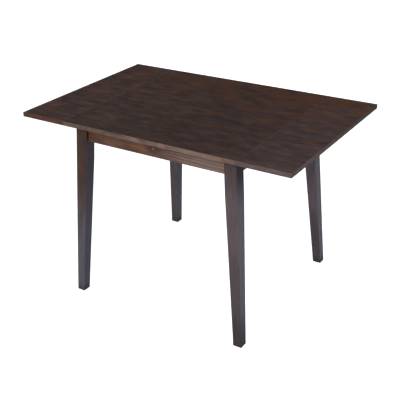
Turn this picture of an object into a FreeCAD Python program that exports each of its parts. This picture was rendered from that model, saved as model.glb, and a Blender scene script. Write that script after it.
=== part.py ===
import FreeCAD, Part
import math
import os

Vector = FreeCAD.Vector

# Dining table with two drop leaves at the ends, in millimetres.
# The origin is on the floor under the middle of the top, X runs along the table, Y to its back and Z up.

# Top: a fixed centre panel between two leaves
table_height = 760.0
centre_length = 750.0
top_width = 750.0
top_thickness = 18.0
leaf_length = 206.6
seam_gap = 0.4
outer_edge_ease = 1.5
seam_edge_ease = 1.0

# Legs: a straight length at the top, then a taper on the two inner faces, splayed both ways
leg_size = 50.0
leg_foot_size = 36.0
leg_straight_length = 150.0
leg_inset_x = 23.0
leg_inset_y = 47.0
leg_splay_x = 46.0
leg_splay_y = 42.0
leg_edge_ease = 1.5

# Foot glides: a nylon disc with a nail moulded in
glide_radius = 11.0
glide_thickness = 1.2
glide_nail_radius = 1.6
glide_nail_length = 16.0

# Aprons, set back behind the outer faces of the legs
apron_height = 70.5
apron_thickness = 20.0
apron_setback = 10.0

# Corner blocks across the inner corners of the aprons
block_thickness = 22.0
block_leg_gap = 3.5
block_top_gap = 8.0
block_bottom_gap = 10.5
block_screw_seat = 7.0
block_screw_height_shares = (-0.26, 0.26)
counterbore_clearance = 0.5

# Hanger bolts through the corner blocks into the legs, with flanged nuts
bolt_radius = 4.0
bolt_bite = 30.0
bolt_proud = 3.0
bolt_hole_clearance = 0.4
bolt_height_shares = (-0.27, 0.27)
nut_across_flats = 13.0
nut_height = 8.0
nut_flange_radius = 8.6
nut_flange_thickness = 1.6

# Round-head wood screws of the corner blocks, top clips and stay brackets
screw_radius = 2.0
screw_head_radius = 4.0
screw_head_height = 2.4
screw_bite_share = 0.65

# Top clips: Z-shaped steel strips between a saw kerf in the apron and the underside of the centre panel
clip_thickness = 2.0
clip_width = 16.0
clip_tongue = 7.0
clip_reach = 6.0
clip_pad = 18.0
clip_drop = 8.0
kerf_clearance = 0.5
clip_side_shares = (-0.3, 0.3)

# Back-flap hinges under the seams
hinge_length = 50.0
hinge_plate_thickness = 2.0
hinge_leaf_plate_width = 40.0
hinge_apron_gap = 6.5
hinge_leg_gap = 19.0
knuckle_count = 5
knuckle_radius = 3.1
knuckle_axial_gap = 0.3
knuckle_relief = 0.4
pin_radius = 1.5
running_clearance = 0.05
hinge_screw_radius = 1.75
hinge_screw_head_radius = 3.4
hinge_screw_place_shares = ((-0.34, 0.55), (0.0, 0.75), (0.34, 0.55))

# Friction stays: a slotted arm between a stud on the apron and a pivot under the leaf
stay_place_share = 0.6
arm_thickness = 3.0
arm_width = 14.0
arm_leaf_clearance = 3.5
arm_apron_clearance = 9.0
arm_side_clearance = 0.2
slot_clearance = 0.12
slot_end_clearance = 0.5
stud_radius = 3.0
stud_head_radius = 6.0
stud_head_height = 2.5
stud_end_height = 1.5
washer_radius = 7.0
washer_thickness = 1.0
rivet_radius = 3.0
rivet_head_radius = 5.0
rivet_head_height = 1.5
bracket_thickness = 3.0
stud_ear_radius = 9.0
leaf_ear_radius = 8.0
fold_clearance = 2.0
apron_plate_length = 40.0
apron_plate_width = 30.0
apron_plate_rise = 4.0
apron_plate_lip = 8.0
apron_plate_screw_shares = (0.25, 0.75)
leaf_plate_length = 32.0
leaf_plate_width = 26.0
leaf_plate_screw_shares = (-0.3, 0.3)

# Overrun of every cutting shape past the face that it cuts
overrun = 1.0

# Places worked out from the sizes above
underside = table_height - top_thickness
half_length = centre_length / 2
half_width = top_width / 2
leg_top_x = half_length - leg_inset_x
leg_top_y = half_width - leg_inset_y
apron_outer_x = leg_top_x - apron_setback
apron_outer_y = leg_top_y - apron_setback
apron_inner_x = apron_outer_x - apron_thickness
apron_inner_y = apron_outer_y - apron_thickness
apron_bottom = underside - apron_height
block_top = underside - block_top_gap
block_bottom = apron_bottom + block_bottom_gap
leg_corner = (leg_size - apron_setback - apron_thickness) * math.sqrt(2)
block_near = leg_corner + block_leg_gap
block_far = block_near + block_thickness
hinge_x = half_length + seam_gap / 2
hinge_drop = knuckle_radius + knuckle_relief
hinge_z = underside - hinge_drop
hinge_side_y = leg_top_y - leg_size - hinge_leg_gap - hinge_length / 2
hinge_places = {"front": -hinge_side_y, "middle": 0, "back": hinge_side_y}
hinge_table_plate_width = hinge_x - apron_outer_x - hinge_apron_gap

# The stud and the pivot lie equally far from the hinge, so the arm turns half as far as the leaf
arm_half = arm_width / 2
pivot_drop = arm_half + arm_leaf_clearance
pivot_below_hinge = pivot_drop - hinge_drop
folded_reach = leaf_ear_radius + washer_radius + fold_clearance
stud = Vector(hinge_x - pivot_below_hinge - folded_reach, 0, apron_bottom - arm_half - arm_apron_clearance)
stay_radius = math.hypot(hinge_x - stud.x, hinge_z - stud.z)
pivot_reach = math.sqrt(stay_radius**2 - pivot_below_hinge**2)
pivot = Vector(hinge_x + pivot_reach, 0, underside - pivot_drop)
hung_pivot = Vector(hinge_x - pivot_below_hinge, 0, hinge_z - pivot_reach)
reach_raised = pivot.distanceToPoint(stud)
reach_hung = hung_pivot.distanceToPoint(stud)
stay_y = hinge_side_y * stay_place_share

# Layers of a stay along its pivots, counted from the middle plane of the arm
arm_face = arm_thickness / 2
stud_near = arm_face + arm_side_clearance
washer_far = stud_near + washer_thickness
stud_ear_far = washer_far + bracket_thickness
leaf_ear_far = stud_near + bracket_thickness

up = Vector(0, 0, 1)
sides_x = {"left": -1, "right": 1}
sides_y = {"front": -1, "back": 1}
shapes = {}


def box(low, high):
    """Box between two corner points."""
    size = high - low
    return Part.makeBox(size.x, size.y, size.z, low)


def rod(radius, start, end):
    """Round bar between two points."""
    along = end - start
    return Part.makeCylinder(radius, along.Length, start, along)


def pivot_rod(centre, radius, low, high):
    """Round bar along Y at a pivot, between two Y planes."""
    return rod(radius, Vector(centre.x, low, centre.z), Vector(centre.x, high, centre.z))


def group(pieces):
    """Several separate solids as one shape."""
    return Part.makeCompound(pieces)


def moved(shape, offset):
    """Copy of a shape, moved by an offset."""
    copy = shape.copy()
    copy.translate(offset)
    return copy


def placed(shape, origin, direction):
    """Copy of a shape made along Z, moved to an origin and turned to a direction."""
    copy = shape.copy()
    copy.Placement = FreeCAD.Placement(origin, FreeCAD.Rotation(up, direction)) * copy.Placement
    return copy


def turned(shape, origin, angle):
    """Copy of a shape, turned about Z by an angle in degrees and moved to an origin."""
    copy = shape.copy()
    copy.Placement = FreeCAD.Placement(origin, FreeCAD.Rotation(up, angle)) * copy.Placement
    return copy


def mirrored(shape, side_x, side_y):
    """Copy of a shape made at the right and back, brought to the side that the signs name."""
    copy = shape.copy()
    if side_x < 0:
        copy = copy.mirror(Vector(0, 0, 0), Vector(1, 0, 0))
    if side_y < 0:
        copy = copy.mirror(Vector(0, 0, 0), Vector(0, 1, 0))
    return copy


def prism(points, thickness):
    """Solid of a plane outline, pushed along a thickness vector."""
    wire = Part.makePolygon(points + points[:1])
    return Part.Face(wire).extrude(thickness)


def flat_bar(start, end, radius, low, high):
    """Flat bar with round ends from one point to another of the XZ plane, between two Y planes."""
    along = (end - start).normalize() * radius
    side = Vector(-along.z, 0, along.x)
    outline = Part.Wire([
        Part.makeLine(start + side, end + side),
        Part.Arc(end + side, end + along, end - side).toShape(),
        Part.makeLine(end - side, start - side),
        Part.Arc(start - side, start - along, start + side).toShape(),
    ])
    outline.translate(Vector(0, low, 0))
    return Part.Face(outline).extrude(Vector(0, high - low, 0))


def round_head_screw(grip, bite):
    """Wood screw along Z with its seat at zero: a low round head below, the grip and the bite above."""
    head = Part.makeCylinder(screw_head_radius, screw_head_height, Vector(0, 0, -screw_head_height))
    head = head.makeFillet(screw_head_height / 2, [head.Edges[2]])
    return head.fuse(Part.makeCylinder(screw_radius, grip + bite)).removeSplitter()


def countersunk_screw(bite):
    """Wood screw along Z, flush with the plate that it holds, with its head's face at zero."""
    head = Part.makeCone(hinge_screw_head_radius, hinge_screw_radius, hinge_plate_thickness)
    shank = Part.makeCylinder(hinge_screw_radius, hinge_plate_thickness + bite)
    return head.fuse(shank).removeSplitter()


def eased(panel, seam_planes):
    """Panel with its outer edges rounded, and the edges along the seams rounded less."""
    outer = []
    for edge in panel.Edges:
        middle = edge.CenterOfMass
        if all(abs(middle.x - plane) > seam_gap for plane in seam_planes):
            outer.append(edge)
    panel = panel.makeFillet(outer_edge_ease, outer)
    seam = []
    for edge in panel.Edges:
        box_x = edge.BoundBox
        if any(abs(box_x.XMin - plane) + abs(box_x.XMax - plane) < seam_edge_ease for plane in seam_planes):
            if box_x.YLength > half_width:
                seam.append(edge)
    return panel.makeFillet(seam_edge_ease, seam)


def leg_square(height):
    """Outer corner point and size of the back right leg's section at one height."""
    drop_share = (underside - height) / (underside - glide_thickness)
    outer = Vector(leg_top_x + leg_splay_x * drop_share, leg_top_y + leg_splay_y * drop_share, height)
    taper_length = underside - leg_straight_length - glide_thickness
    taper_share = max(0, underside - leg_straight_length - height) / taper_length
    return outer, leg_size + (leg_foot_size - leg_size) * taper_share


def leg_outline(height):
    """Points of the back right leg's section at one height: a square with its four corners taken off."""
    outer, size = leg_square(height)
    near = leg_edge_ease
    far = size - leg_edge_ease
    steps = [(near, 0), (far, 0), (size, near), (size, far), (far, size), (near, size), (0, far), (0, near)]
    return [outer - Vector(x, y, 0) for x, y in steps]


def make_leg():
    """Back right leg: a straight block on a tapered one, both with plane faces."""
    levels = [leg_outline(h) for h in (underside, underside - leg_straight_length, glide_thickness)]
    blocks = []
    for above, below in zip(levels, levels[1:]):
        faces = [Part.Face(Part.makePolygon(ring + ring[:1])) for ring in (above, below)]
        for i in range(len(above)):
            j = (i + 1) % len(above)
            faces.append(Part.Face(Part.makePolygon([above[i], above[j], below[j], below[i], above[i]])))
        blocks.append(Part.makeSolid(Part.makeShell(faces)))
    return blocks[0].fuse(blocks[1]).removeSplitter()


def make_glide():
    """Glide under the back right foot."""
    outer, size = leg_square(glide_thickness)
    centre = outer - Vector(size / 2, size / 2, 0)
    base = Vector(centre.x, centre.y, 0)
    disc = Part.makeCylinder(glide_radius, glide_thickness, base)
    nail = rod(glide_nail_radius, centre, centre + up * glide_nail_length)
    return disc.fuse(nail).removeSplitter()


def make_corner_block():
    """Corner block in its corner's own frame: X runs inward from the aprons' inner corner."""
    points = [
        Vector(block_near, -block_near, block_bottom),
        Vector(block_far, -block_far, block_bottom),
        Vector(block_far, block_far, block_bottom),
        Vector(block_near, block_near, block_bottom),
    ]
    return prism(points, up * (block_top - block_bottom))


def block_heights(shares):
    """Heights at shares of the corner block's height from its middle."""
    middle = (block_top + block_bottom) / 2
    return [middle + share * (block_top - block_bottom) for share in shares]


def block_screw_places():
    """Seats and directions of the corner block's screws, square to the aprons, in the corner's frame."""
    along = (block_near + block_far) / math.sqrt(2)
    places = []
    for side in (-1, 1):
        towards_apron = Vector(-1, side, 0).normalize()
        along_apron = Vector(1, side, 0).normalize()
        for height in block_heights(block_screw_height_shares):
            seat = along_apron * along - towards_apron * block_screw_seat + up * height
            places.append((seat, towards_apron))
    return places


def make_nut():
    """Flanged hexagon nut along Z, seated at zero."""
    corner = nut_across_flats / math.sqrt(3)
    turns = [math.radians(60 * i) for i in range(6)]
    hexagon = prism([Vector(corner * math.cos(t), corner * math.sin(t), 0) for t in turns], up * nut_height)
    flange = Part.makeCylinder(nut_flange_radius, nut_flange_thickness)
    bore = Part.makeCylinder(bolt_radius, nut_height + overrun * 2, Vector(0, 0, -overrun))
    return hexagon.fuse(flange).cut(bore)


def make_block_fasteners():
    """Screws, hanger bolts and nuts of one corner, and the cuts that they need, in the corner's frame."""
    bite = apron_thickness * screw_bite_share
    screw = round_head_screw(block_screw_seat, bite)
    bore = Part.makeCylinder(screw_head_radius + counterbore_clearance, block_far, Vector(0, 0, -block_far))
    screws = [placed(screw, seat, direction) for seat, direction in block_screw_places()]
    counterbores = [placed(bore, seat, direction) for seat, direction in block_screw_places()]
    bolts = []
    nuts = []
    holes = []
    for height in block_heights(bolt_height_shares):
        start = Vector(leg_corner - bolt_bite, 0, height)
        seat = Vector(block_far, 0, height)
        end = seat + Vector(nut_height + bolt_proud, 0, 0)
        bolts.append(rod(bolt_radius, start, end))
        holes.append(rod(bolt_radius + bolt_hole_clearance, Vector(0, 0, height), end))
        nuts.append(placed(make_nut(), seat, Vector(1, 0, 0)))
    return screws, counterbores, bolts, holes, nuts


def make_clip():
    """Top clip in its own frame: X inward from the apron's inner face, Z up from the panel's underside."""
    half = clip_width / 2
    riser = clip_reach + clip_thickness
    tongue = box(Vector(-clip_tongue, -half, -clip_drop - clip_thickness), Vector(riser, half, -clip_drop))
    web = box(Vector(clip_reach, -half, -clip_drop - clip_thickness), Vector(riser, half, 0))
    pad = box(Vector(clip_reach, -half, -clip_thickness), Vector(clip_reach + clip_pad, half, 0))
    return tongue.fuse([web, pad]).removeSplitter()


def make_kerf():
    """Saw kerf for a clip's tongue, in the clip's frame."""
    half = clip_width / 2 + kerf_clearance
    low = Vector(-clip_tongue - kerf_clearance, -half, -clip_drop - clip_thickness - kerf_clearance)
    return box(low, Vector(overrun, half, -clip_drop))


def clip_places():
    """Origin and turn of every top clip, by the name of the apron that it holds."""
    places = {}
    for name, side in sides_y.items():
        inner = side * apron_inner_y
        points = [Vector(share * centre_length, inner, underside) for share in clip_side_shares]
        places[name] = [(point, -90 * side) for point in points]
    for name, side in sides_x.items():
        inner = side * apron_inner_x
        points = [Vector(inner, share * apron_inner_y, underside) for share in clip_side_shares]
        places[name] = [(point, 90 + 90 * side) for point in points]
    return places


def knuckle_span(index, gap):
    """Start and end along Y of one knuckle, shortened by a gap at each end."""
    pitch = hinge_length / knuckle_count
    start = -hinge_length / 2 + pitch * index
    return start + gap, start + pitch - gap


def make_hinge_half(direction, plate_width, own_indices, bore_radius):
    """Half of a hinge about the Y axis: direction is 1 for the leaf's plate and -1 for the table's."""
    half = hinge_length / 2
    ends = sorted((0, direction * plate_width))
    bottom = hinge_drop - hinge_plate_thickness
    half_hinge = box(Vector(ends[0], -half, bottom), Vector(ends[1], half, hinge_drop))
    notch_ends = sorted((-direction * overrun, direction * (knuckle_radius + knuckle_relief)))
    for index in range(knuckle_count):
        if index in own_indices:
            start, end = knuckle_span(index, knuckle_axial_gap / 2)
            barrel = rod(knuckle_radius, Vector(0, start, 0), Vector(0, end, 0))
            half_hinge = half_hinge.fuse(barrel)
        else:
            start, end = knuckle_span(index, -knuckle_axial_gap / 2)
            low = Vector(notch_ends[0], start, -overrun)
            half_hinge = half_hinge.cut(box(low, Vector(notch_ends[1], end, hinge_drop + overrun)))
    bore = rod(bore_radius, Vector(0, -half - overrun, 0), Vector(0, half + overrun, 0))
    return half_hinge.cut(bore).removeSplitter()


def make_hinge_screws(direction, plate_width):
    """Countersunk screws of one hinge plate, about the hinge's axis."""
    bite = top_thickness * screw_bite_share
    screw = countersunk_screw(bite)
    bottom = hinge_drop - hinge_plate_thickness
    screws = []
    for along_share, across_share in hinge_screw_place_shares:
        place = Vector(direction * across_share * plate_width, along_share * hinge_length, bottom)
        screws.append(placed(screw, place, up))
    return screws


def make_arm():
    """Slotted arm of the back right stay, about the arm's middle plane at Y zero."""
    along = (stud - pivot).normalize()
    slot_half = stud_radius + slot_clearance
    slot_start = pivot + along * (reach_hung - slot_end_clearance)
    slot_end = pivot + along * (reach_raised + slot_end_clearance)
    arm = flat_bar(pivot, slot_end, arm_half, -arm_face, arm_face)
    cuts = [
        flat_bar(slot_start, slot_end, slot_half, -arm_face - overrun, arm_face + overrun),
        pivot_rod(pivot, rivet_radius + running_clearance, -arm_face - overrun, arm_face + overrun),
    ]
    return arm.cut(cuts)


def make_apron_bracket():
    """Bent bracket: a plate on the end apron's outer face and an ear for the stud below the apron."""
    plate_bottom = apron_bottom + apron_plate_rise
    plate_top = plate_bottom + apron_plate_length
    plate_outer = apron_outer_x + bracket_thickness
    plate = box(
        Vector(apron_outer_x, washer_far, plate_bottom),
        Vector(plate_outer, washer_far + apron_plate_width, plate_top),
    )
    reach = Vector(stud_ear_radius, 0, 0)
    corners = [
        stud - reach,
        Vector(apron_outer_x, 0, plate_bottom),
        Vector(apron_outer_x, 0, plate_top),
        Vector(apron_outer_x + apron_plate_lip, 0, plate_top),
        stud + reach,
    ]
    lines = [Part.makeLine(a, b) for a, b in zip(corners, corners[1:])]
    toe = Part.Arc(stud + reach, stud - up * stud_ear_radius, stud - reach).toShape()
    outline = Part.Wire(lines + [toe])
    outline.translate(Vector(0, washer_far, 0))
    ear = Part.Face(outline).extrude(Vector(0, bracket_thickness, 0))
    return plate.fuse(ear).removeSplitter().cut(pivot_rod(stud, stud_radius, 0, stud_ear_far + overrun))


def make_apron_bracket_screws():
    """Screws of one apron bracket, driven inward into the end apron."""
    bite = apron_thickness * screw_bite_share
    screw = round_head_screw(bracket_thickness, bite)
    middle_y = washer_far + (bracket_thickness + apron_plate_width) / 2
    screws = []
    for share in apron_plate_screw_shares:
        height = apron_bottom + apron_plate_rise + share * apron_plate_length
        seat = Vector(apron_outer_x + bracket_thickness, middle_y, height)
        screws.append(placed(screw, seat, Vector(-1, 0, 0)))
    return screws


def make_stud():
    """Shoulder stud through the bracket's ear, the washers and the arm's slot, headed at both ends."""
    shank = pivot_rod(stud, stud_radius, -washer_far, stud_ear_far)
    head = pivot_rod(stud, stud_head_radius, -washer_far - stud_head_height, -washer_far)
    end = pivot_rod(stud, rivet_head_radius, stud_ear_far, stud_ear_far + stud_end_height)
    return shank.fuse([head, end]).removeSplitter()


def make_washers():
    """Friction washers on both sides of the arm."""
    hole = pivot_rod(stud, stud_radius, -washer_far - overrun, washer_far + overrun)
    spans = [(-washer_far, -stud_near), (stud_near, washer_far)]
    return [pivot_rod(stud, washer_radius, low, high).cut(hole) for low, high in spans]


def make_leaf_bracket():
    """Bent bracket: a plate under the leaf and an ear for the arm's pivot, on the arm's other side."""
    half = leaf_plate_length / 2
    plate = box(
        Vector(pivot.x - half, -stud_near - leaf_plate_width, underside - bracket_thickness),
        Vector(pivot.x + half, -stud_near, underside),
    )
    web = box(
        Vector(pivot.x - leaf_ear_radius, -leaf_ear_far, pivot.z),
        Vector(pivot.x + leaf_ear_radius, -stud_near, underside),
    )
    toe = pivot_rod(pivot, leaf_ear_radius, -leaf_ear_far, -stud_near)
    hole = pivot_rod(pivot, rivet_radius, -leaf_ear_far - overrun, 0)
    return plate.fuse([web, toe]).removeSplitter().cut(hole)


def make_leaf_bracket_screws():
    """Screws of one leaf bracket, driven up into the leaf."""
    bite = top_thickness * screw_bite_share
    screw = round_head_screw(bracket_thickness, bite)
    middle_y = -stud_near - (bracket_thickness + leaf_plate_width) / 2
    screws = []
    for share in leaf_plate_screw_shares:
        seat = Vector(pivot.x + share * leaf_plate_length, middle_y, underside - bracket_thickness)
        screws.append(placed(screw, seat, up))
    return screws


def make_rivet():
    """Rivet through the leaf bracket's ear and the arm."""
    arm_end = arm_face + arm_side_clearance
    shank = pivot_rod(pivot, rivet_radius, -leaf_ear_far, arm_end)
    inner = pivot_rod(pivot, rivet_head_radius, arm_end, arm_end + rivet_head_height)
    outer = pivot_rod(pivot, rivet_head_radius, -leaf_ear_far - rivet_head_height, -leaf_ear_far)
    return shank.fuse([inner, outer]).removeSplitter()


def build_base():
    """Legs, glides, aprons, corner blocks and their fasteners."""
    leg = make_leg()
    glide = make_glide()
    block = make_corner_block()
    screws, counterbores, bolts, holes, nuts = make_block_fasteners()
    block = block.cut(screws + counterbores + holes)
    glides = []
    all_screws = []
    all_bolts = []
    all_nuts = []
    legs = {}
    for y_name, side_y in sides_y.items():
        for x_name, side_x in sides_x.items():
            corner = Vector(side_x * apron_inner_x, side_y * apron_inner_y, 0)
            angle = math.degrees(math.atan2(-side_y, -side_x))
            own_bolts = [turned(bolt, corner, angle) for bolt in bolts]
            own_glide = mirrored(glide, side_x, side_y)
            name = y_name + "_" + x_name
            legs[name] = mirrored(leg, side_x, side_y)
            shapes["leg_" + name] = legs[name].cut(own_bolts + [own_glide])
            shapes["corner_block_" + name] = turned(block, corner, angle)
            all_screws += [turned(screw, corner, angle) for screw in screws]
            all_nuts += [turned(nut, corner, angle) for nut in nuts]
            all_bolts += own_bolts
            glides.append(own_glide)
    shapes["corner_block_screws"] = group(all_screws)
    shapes["hanger_bolts"] = group(all_bolts)
    shapes["hanger_nuts"] = group(all_nuts)
    shapes["foot_glides"] = group(glides)
    build_aprons(list(legs.values()), all_screws)


def build_aprons(legs, block_screws):
    """Four aprons that end against the splayed legs, with the top clips in their kerfs."""
    end_x = leg_top_x - leg_size / 2
    end_y = leg_top_y - leg_size / 2
    kerf = make_kerf()
    places = clip_places()
    blanks = {}
    for name, side in sides_y.items():
        span = sorted((side * apron_inner_y, side * apron_outer_y))
        blanks[name] = box(Vector(-end_x, span[0], apron_bottom), Vector(end_x, span[1], underside))
    for name, side in sides_x.items():
        span = sorted((side * apron_inner_x, side * apron_outer_x))
        blanks[name] = box(Vector(span[0], -end_y, apron_bottom), Vector(span[1], end_y, underside))
    for name, blank in blanks.items():
        kerfs = [turned(kerf, point, angle) for point, angle in places[name]]
        shapes[name + "_apron"] = blank.cut(legs).cut(kerfs + block_screws)
    clip = make_clip()
    screw = round_head_screw(clip_thickness, top_thickness * screw_bite_share)
    seat = Vector(clip_reach + (clip_thickness + clip_pad) / 2, 0, -clip_thickness)
    screw.translate(seat)
    all_places = [place for apron_places in places.values() for place in apron_places]
    clip_screws = [turned(screw, point, angle) for point, angle in all_places]
    shapes["top_clips"] = group([turned(clip.cut(screw), point, angle) for point, angle in all_places])
    shapes["top_clip_screws"] = group(clip_screws)


def build_top():
    """Centre panel and leaves, their hinges and the holes for their screws."""
    low = Vector(-half_length, -half_width, underside)
    centre = eased(box(low, Vector(half_length, half_width, table_height)), [-half_length, half_length])
    leaf_start = half_length + seam_gap
    low = Vector(leaf_start, -half_width, underside)
    leaf = eased(box(low, Vector(leaf_start + leaf_length, half_width, table_height)), [leaf_start])
    table_knuckles = range(0, knuckle_count, 2)
    leaf_knuckles = range(1, knuckle_count, 2)
    table_screws = make_hinge_screws(-1, hinge_table_plate_width)
    leaf_screws = make_hinge_screws(1, hinge_leaf_plate_width)
    table_half = make_hinge_half(-1, hinge_table_plate_width, table_knuckles, pin_radius).cut(table_screws)
    bore_radius = pin_radius + running_clearance
    leaf_half = make_hinge_half(1, hinge_leaf_plate_width, leaf_knuckles, bore_radius).cut(leaf_screws)
    pin = rod(pin_radius, Vector(0, -hinge_length / 2, 0), Vector(0, hinge_length / 2, 0))
    all_table_screws = []
    for x_name, side_x in sides_x.items():
        own_screws = []
        for place_name, place_y in hinge_places.items():
            place = Vector(hinge_x, place_y, hinge_z)
            name = "hinge_" + x_name + "_" + place_name
            shapes[name + "_table_plate"] = mirrored(moved(table_half, place), side_x, 1)
            shapes[name + "_leaf_plate"] = mirrored(moved(leaf_half, place), side_x, 1)
            shapes[name + "_pin"] = mirrored(moved(pin, place), side_x, 1)
            all_table_screws += [mirrored(moved(screw, place), side_x, 1) for screw in table_screws]
            own_screws += [mirrored(moved(screw, place), side_x, 1) for screw in leaf_screws]
        own_screws += build_stays(x_name, side_x)
        shapes[x_name + "_leaf_screws"] = group(own_screws)
        shapes[x_name + "_leaf_panel"] = mirrored(leaf, side_x, 1).cut(own_screws)
    shapes["hinge_table_screws"] = group(all_table_screws)
    shapes["centre_panel"] = centre.cut(all_table_screws + shapes["top_clip_screws"].Solids)


def build_stays(x_name, side_x):
    """Two friction stays of one leaf; returns the screws that go into the leaf."""
    place = Vector(0, stay_y, 0)
    arm = moved(make_arm(), place)
    apron_screws = [moved(screw, place) for screw in make_apron_bracket_screws()]
    apron_bracket = moved(make_apron_bracket(), place).cut(apron_screws)
    leaf_screws = [moved(screw, place) for screw in make_leaf_bracket_screws()]
    leaf_bracket = moved(make_leaf_bracket(), place).cut(leaf_screws)
    rivets = []
    own_leaf_screws = []
    for y_name, side_y in sides_y.items():
        name = "stay_" + x_name + "_" + y_name
        shapes[name + "_arm"] = mirrored(arm, side_x, side_y)
        shapes[name + "_apron_bracket"] = mirrored(apron_bracket, side_x, side_y)
        shapes[name + "_leaf_bracket"] = mirrored(leaf_bracket, side_x, side_y)
        rivets.append(mirrored(moved(make_rivet(), place), side_x, side_y))
        own_leaf_screws += [mirrored(screw, side_x, side_y) for screw in leaf_screws]
        stay_groups["stay_studs"].append(mirrored(moved(make_stud(), place), side_x, side_y))
        stay_groups["stay_friction_washers"] += [
            mirrored(moved(washer, place), side_x, side_y) for washer in make_washers()
        ]
        own_apron_screws = [mirrored(screw, side_x, side_y) for screw in apron_screws]
        stay_groups["stay_apron_screws"] += own_apron_screws
        shapes[x_name + "_apron"] = shapes[x_name + "_apron"].cut(own_apron_screws)
    shapes[x_name + "_stay_rivets"] = group(rivets)
    return own_leaf_screws


# Groups of like pieces that all four stays add to
stay_groups = {"stay_studs": [], "stay_friction_washers": [], "stay_apron_screws": []}
build_base()
build_top()
for group_name, pieces in stay_groups.items():
    shapes[group_name] = group(pieces)

os.makedirs("parts", exist_ok=True)
for node, shape in shapes.items():
    shape.exportStep("parts/" + node + ".step")
    print(node, len(shape.Solids), "solids, valid", shape.isValid(), "volume", round(shape.Volume, 1))
print(len(shapes), "nodes; arm reach raised", round(reach_raised, 2), "hung", round(reach_hung, 2))
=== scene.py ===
# %% [markdown]
# # A dark walnut table with two drop leaves
#
# This lesson dresses a finished CAD model. The table has a fixed middle panel, a leaf hinged at
# each end, four splayed legs and an apron. All shapes come from the CAD frame in metres, so the
# work here is mostly finish: stained wood, plated hinges, screws with a real recess, and a soft
# studio around them.

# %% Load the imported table
import math

import bmesh
import bpy
import numpy as np
from mathutils import Matrix, Vector


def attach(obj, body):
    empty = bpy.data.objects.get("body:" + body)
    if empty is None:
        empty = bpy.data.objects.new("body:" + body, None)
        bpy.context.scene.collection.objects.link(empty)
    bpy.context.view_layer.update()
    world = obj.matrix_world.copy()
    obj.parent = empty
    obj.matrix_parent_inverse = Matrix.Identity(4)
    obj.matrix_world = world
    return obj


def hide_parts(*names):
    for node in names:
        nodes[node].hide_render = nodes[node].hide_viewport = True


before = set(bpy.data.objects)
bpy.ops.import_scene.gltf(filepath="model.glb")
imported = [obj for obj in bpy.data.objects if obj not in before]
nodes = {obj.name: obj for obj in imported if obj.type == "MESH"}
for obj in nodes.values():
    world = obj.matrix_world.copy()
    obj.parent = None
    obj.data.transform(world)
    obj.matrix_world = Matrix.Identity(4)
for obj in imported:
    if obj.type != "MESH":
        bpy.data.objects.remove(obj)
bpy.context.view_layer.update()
MM = 0.001

# %% [markdown]
# ## The camera
#
# The photograph looks down on a corner of the table from about three metres. The place of the
# camera was worked out from the corners of the top, the seams and the feet, so it is given as a
# point, three angles and a focal length. A camera at rest looks straight down, and three turns, the
# roll first, aim it. That is exact, where a tracking constraint would leave out the roll.

# %% Camera at the viewing angle
CAMERA_PLACE = Vector((1.51332, -2.33555, 1.75094))
CAMERA_YAW = -0.57817
CAMERA_PITCH = -0.46375
CAMERA_ROLL = -0.02459
FOCAL_SHARE = 751.65 / 400
SENSOR_WIDTH = 36.0


def new_object(name, data):
    """An object in the scene that shows some data."""
    thing = bpy.data.objects.new(name, data)
    bpy.context.scene.collection.objects.link(thing)
    return thing


turn = Matrix.Identity(4)
for angle, axis in ((-CAMERA_YAW, "Z"), (math.pi / 2 + CAMERA_PITCH, "X"), (CAMERA_ROLL, "Z")):
    turn = turn @ Matrix.Rotation(angle, 4, axis)
camera = new_object("camera", bpy.data.cameras.new("camera"))
camera.data.sensor_width = SENSOR_WIDTH
camera.data.lens = FOCAL_SHARE * SENSOR_WIDTH
camera.matrix_world = Matrix.Translation(CAMERA_PLACE) @ turn
bpy.context.scene.camera = camera
print("lens, mm:", round(camera.data.lens, 2))

# %% [markdown]
# ## Colours and nodes
#
# A paint chart or a picture editor gives colours as sRGB hex values, while Blender's shaders add up
# light in linear values, so one function turns the first into the second. A second small function
# adds one node to a tree, sets it and links it, and a third starts an empty material. A node's kind
# is the name of its Blender type without the family in front. Sockets go by name, or by number where
# a node has several of one name: a Mix node takes its factor at 0, two vectors at 4 and 5, and two
# colours at 6 and 7.

# %% Three helpers for every material
def linear(hex_colour):
    """The linear colour of an sRGB hex value such as '#43332d', with a full alpha."""
    channels = [int(hex_colour[i:i + 2], 16) / 255 for i in (1, 3, 5)]
    return (*[c / 12.92 if c <= 0.04045 else ((c + 0.055) / 1.055) ** 2.4 for c in channels], 1.0)


FAMILIES = ("ShaderNode", "GeometryNode", "FunctionNode", "")


def add(tree, kind, inputs=None, **settings):
    """Adds a node. An input is a plain value, or what it is linked from: a socket, a node, which
    stands for its first output in use, or a list of these."""
    node = tree.nodes.new(next(name + kind for name in FAMILIES if hasattr(bpy.types, name + kind)))
    for key, value in settings.items():
        setattr(node, key, value)
    for key, value in (inputs or {}).items():
        for source in value if isinstance(value, list) else [value]:
            if isinstance(source, bpy.types.Node):
                source = next(socket for socket in source.outputs if socket.enabled)
            if isinstance(source, bpy.types.NodeSocket):
                tree.links.new(source, node.inputs[key])
            else:
                node.inputs[key].default_value = source
    return node


def new_finish(name):
    """A material with no nodes yet, and its tree."""
    finish = bpy.data.materials.new(name)
    finish.use_nodes = True
    finish.node_tree.nodes.clear()
    return finish, finish.node_tree


print("walnut brown in linear light:", [round(c, 4) for c in linear("#43332d")])

# %% [markdown]
# ## Floor
#
# Catalogue pictures like this one are taken on a white sheet, and exposed so that the sheet turns
# white and its shadows almost vanish. So bright a sheet would also flood the underside with light.
# A Light Path node tells rays from the camera from all others, so this sheet glows to the camera, and
# is a dim bluish grey to the table.

# %% White acrylic sheet
# How white the camera sees the sheet at two distances from the table, and its glow on the table
NEAR, NEAR_WHITE = 2.5, 0.88
FAR, FAR_WHITE = 7.0, 1.0
TABLE_GLOW = 0.13

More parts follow.
